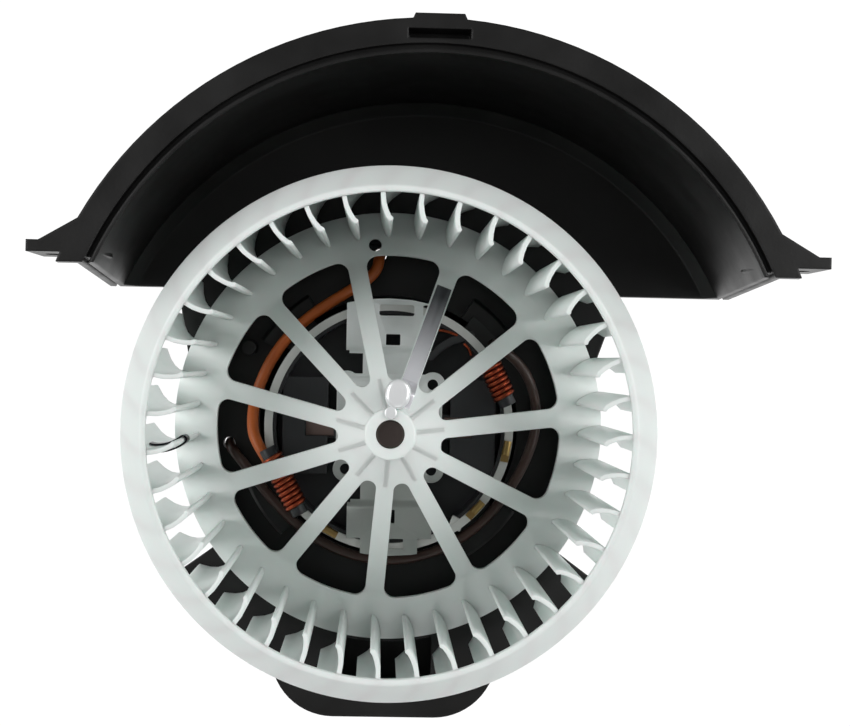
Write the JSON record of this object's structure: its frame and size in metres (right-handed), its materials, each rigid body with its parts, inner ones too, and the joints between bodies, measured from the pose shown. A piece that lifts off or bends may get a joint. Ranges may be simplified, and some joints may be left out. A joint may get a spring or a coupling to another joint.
{
  "type": "car cabin blower motor",
  "caption": "Squirrel-cage fan on a brushed direct-current motor in a carrier with a cooling duct, under a crescent of scroll housing with fixing ears and a latch eye.",
  "frame": {"origin": "on the shaft axis, at the flat rear face of the motor carrier's cup", "axes": "+Z along the shaft from the rear face towards the air intake, +Y towards the crown of the scroll, +X to the right as seen from the intake"},
  "size_m": [0.218, 0.2079, 0.124],
  "materials": {
    "black_moulding": "moulded, satin",
    "zinc_steel": "zinc plated",
    "ferrite": "sintered",
    "brush_moulding": "moulded",
    "brass": "stamped",
    "carbon": "pressed carbon and copper",
    "spring_steel": "bright strip",
    "dark_spring": "blued strip",
    "pressed_steel": "pressed, zinc plated",
    "bronze": "sintered, oiled",
    "copper_wire": "enamelled wire",
    "copper_bar": "turned copper",
    "orange_sleeve": "extruded sleeve",
    "brown_sleeve": "extruded sleeve",
    "black_rubber": "moulded rubber",
    "screw_steel": "zinc plated",
    "tin_plate": "tin plated",
    "natural_moulding": "unpigmented moulding",
    "shaft_steel": "ground",
    "lamination": "stacked sheet",
    "fibre": "pressed fibre"
  },
  "bodies": {
    "housing": {"scroll_housing": "black_moulding", "motor_carrier": "black_moulding", "cooling_duct": "black_moulding", "motor_can": "zinc_steel", "magnets": "ferrite", "brush_plate": "brush_moulding", "brush_holders": "brass", "brush_spring_right": "spring_steel", "brush_spring_left": "spring_steel", "bearing_plate": "pressed_steel", "front_bush": "bronze", "rear_bush": "bronze", "front_retainer": "spring_steel", "rear_retainer": "spring_steel", "choke_coils": "copper_wire", "choke_cores": "ferrite", "supply_lead": "orange_sleeve", "return_lead": "brown_sleeve", "crimp_terminals": "brass", "isolators": "black_rubber", "rear_isolator": "black_rubber", "carrier_screws": "screw_steel", "plug_socket": "brush_moulding", "socket_pins": "tin_plate"},
    "rotor": {"fan_wheel": "natural_moulding", "shaft": "shaft_steel", "armature_core": "lamination", "armature_winding": "copper_wire", "commutator": "copper_bar", "thrust_washers": "fibre", "spoke_clip": "spring_steel", "balance_clip": "dark_spring"},
    "brush_right": {"brush_right": "carbon"},
    "brush_left": {"brush_left": "carbon"}
  },
  "joints": [
    {"name": "rotor_spin", "type": "hinge", "parent": "housing", "child": "rotor", "pos_m": [0, 0, 0.06], "axis": [0, 0, 1], "continuous": true},
    {"name": "brush_right_slide", "type": "slide", "parent": "housing", "child": "brush_right", "axis": [1, 0, 0], "range_m": [0, 0.003], "stiffness_N_per_m": 200, "springref_m": -0.004, "deforming": ["brush_spring_right"]},
    {"name": "brush_left_slide", "type": "slide", "parent": "housing", "child": "brush_left", "axis": [-1, 0, 0], "range_m": [0, 0.003], "stiffness_N_per_m": 200, "springref_m": -0.004, "deforming": ["brush_spring_left"]}
  ]
}
